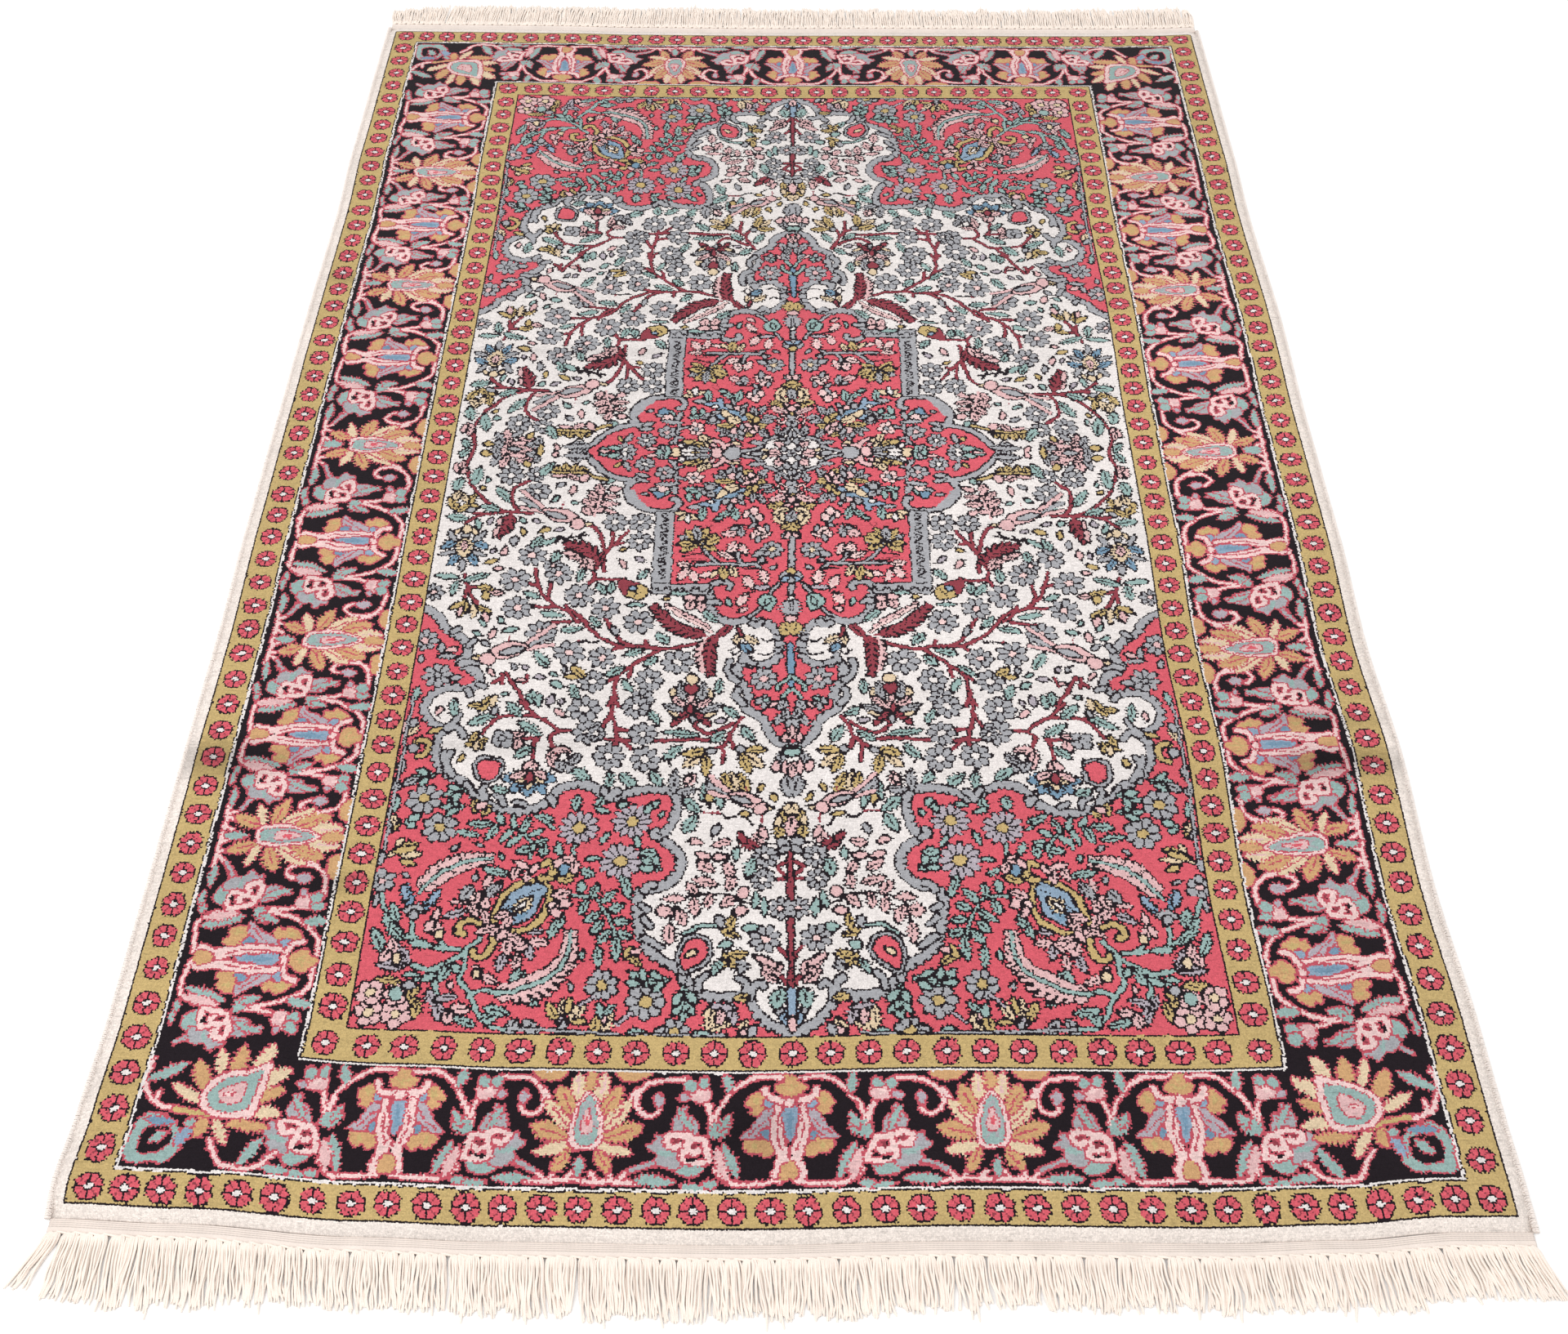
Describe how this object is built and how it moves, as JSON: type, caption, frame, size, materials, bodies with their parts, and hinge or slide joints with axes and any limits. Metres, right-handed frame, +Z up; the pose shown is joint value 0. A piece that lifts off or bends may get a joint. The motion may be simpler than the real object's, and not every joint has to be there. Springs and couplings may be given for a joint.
{
  "type": "hand-knotted wool rug",
  "caption": "Rectangular hand-knotted wool rug lying flat, with a lobed medallion field, floral borders, woven ends and cotton fringes.",
  "frame": {"origin": "middle of the whole rug's footprint, on the floor", "axes": "+Y along the rug towards the end woven last, +X across it, +Z up out of the pile"},
  "size_m": [1.246, 2.0012, 0.0088],
  "materials": {
    "wool_pile": "cut wool pile, knotted in about fifteen colours",
    "overcast_yarn": "ivory wool wrapped round the side cords",
    "cotton_web": "flat weft-faced cotton weave",
    "cotton_fringe": "plied cotton yarn, unbleached"
  },
  "bodies": {
    "root": {"pile_body": "wool_pile", "left_cord": "overcast_yarn", "right_cord": "overcast_yarn", "near_web": "cotton_web", "far_web": "cotton_web", "near_fringe": "cotton_fringe", "far_fringe": "cotton_fringe"}
  },
  "joints": []
}
